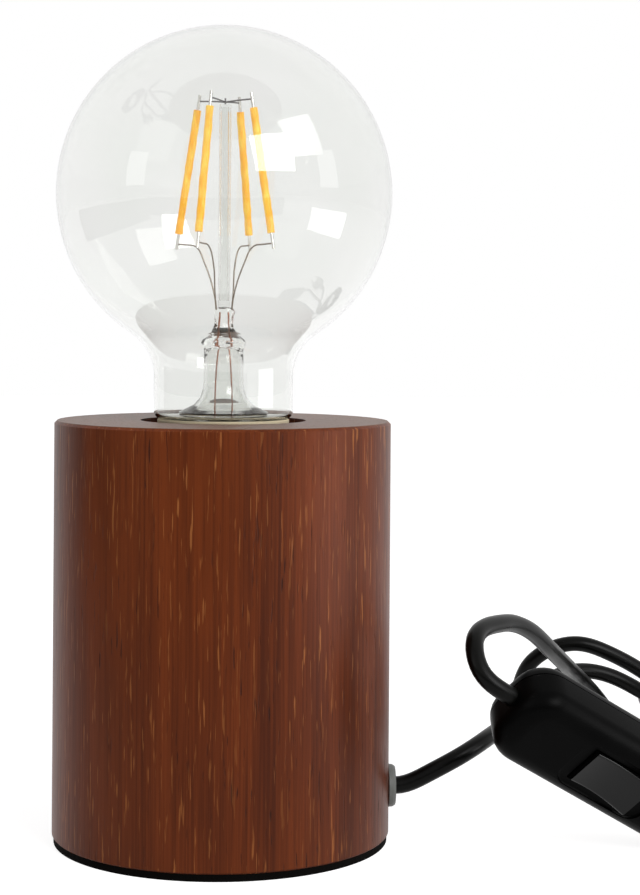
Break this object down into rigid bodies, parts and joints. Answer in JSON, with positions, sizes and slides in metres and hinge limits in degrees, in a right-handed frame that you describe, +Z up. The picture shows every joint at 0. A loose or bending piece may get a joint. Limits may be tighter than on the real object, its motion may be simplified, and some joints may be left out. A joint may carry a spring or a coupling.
{
  "type": "bare bulb table lamp",
  "caption": "Wooden cylinder table lamp with a sunk screw lampholder, a bare globe filament bulb, and a mains lead with an in-line rocker switch and flat plug.",
  "frame": {"origin": "centre of the base's underside, on the table", "axes": "+Z up along the base and bulb, +X towards the cord's exit, -Y towards the viewer"},
  "size_m": [0.2621, 0.2137, 0.2296],
  "materials": {
    "walnut_wood": "satin oiled hardwood, straight vertical grain",
    "black_foam": "plain",
    "grey_plastic": "plain",
    "white_nylon": "plain",
    "zinc_steel": "plain",
    "black_pvc": "satin",
    "brass": "plain",
    "black_bakelite": "plain",
    "white_porcelain": "plain",
    "nickel_brass": "plain",
    "clear_glass": "clear, polished",
    "yellow_phosphor": "plain",
    "bright_wire": "plain",
    "copper_wire": "plain",
    "circuit_board": "plain",
    "beige_cement": "plain",
    "nickel_shell": "plain",
    "black_glass": "plain",
    "solder": "plain",
    "black_abs": "fine matt moulding",
    "gloss_black": "high gloss",
    "black_strap": "plain",
    "nickel_pins": "plain"
  },
  "bodies": {
    "base": {"wood_base": "walnut_wood", "base_pad": "black_foam", "cord_grommet": "grey_plastic", "cord_stop": "white_nylon", "cord_stop_screws": "zinc_steel", "inner_lead": "black_pvc", "holder_nipple": "brass", "nipple_washer": "zinc_steel", "nipple_nut": "brass", "holder_cap": "black_bakelite", "holder_insert": "white_porcelain", "holder_screw_shell": "nickel_brass", "holder_skirt": "black_bakelite", "holder_centre_contact": "brass", "holder_terminals": "brass", "terminal_screws": "zinc_steel", "switch_front_cover": "black_abs", "switch_back_cover": "black_abs", "switch_screws": "zinc_steel", "switch_terminals": "brass", "switch_leads": "black_pvc", "cord_lamp_to_switch": "black_pvc", "cord_switch_to_coil": "black_pvc", "cord_coil": "black_pvc", "coil_tie": "black_strap", "cord_coil_to_plug": "black_pvc", "plug_body": "black_abs", "plug_pins": "nickel_pins"},
    "bulb_tip": {"bulb_tip": "solder"},
    "bulb": {"bulb_glass": "clear_glass", "bulb_stem": "clear_glass", "bulb_centre_tube": "clear_glass", "bulb_driver": "circuit_board", "bulb_cement": "beige_cement", "bulb_cap_shell": "nickel_shell", "bulb_cap_insulator": "black_glass", "led_filament_1": "yellow_phosphor", "led_filament_2": "yellow_phosphor", "led_filament_3": "yellow_phosphor", "led_filament_4": "yellow_phosphor", "filament_tabs": "bright_wire", "top_link_wires": "bright_wire", "support_wires": "bright_wire", "lead_wires": "copper_wire"},
    "rocker": {"switch_rocker": "gloss_black"}
  },
  "joints": [
    {"name": "bulb_lift", "type": "slide", "parent": "base", "child": "bulb_tip", "axis": [0, 0, 1], "range_m": [0, 0.0147]},
    {"name": "bulb_turn", "type": "hinge", "parent": "bulb_tip", "child": "bulb", "pos_m": [0, 0, 0.105], "axis": [0, 0, 1], "range_deg": [0, 1440]},
    {"name": "rocker_tilt", "type": "hinge", "parent": "base", "child": "rocker", "pos_m": [0.1054, -0.03005, 0.02395], "axis": [0.5884, -0.4409, 0.6778], "range_deg": [0, 14]}
  ],
  "couplings": [
    {"joint": "bulb_lift", "follows": "bulb_turn", "m_per_rad": 0.00057757}
  ]
}
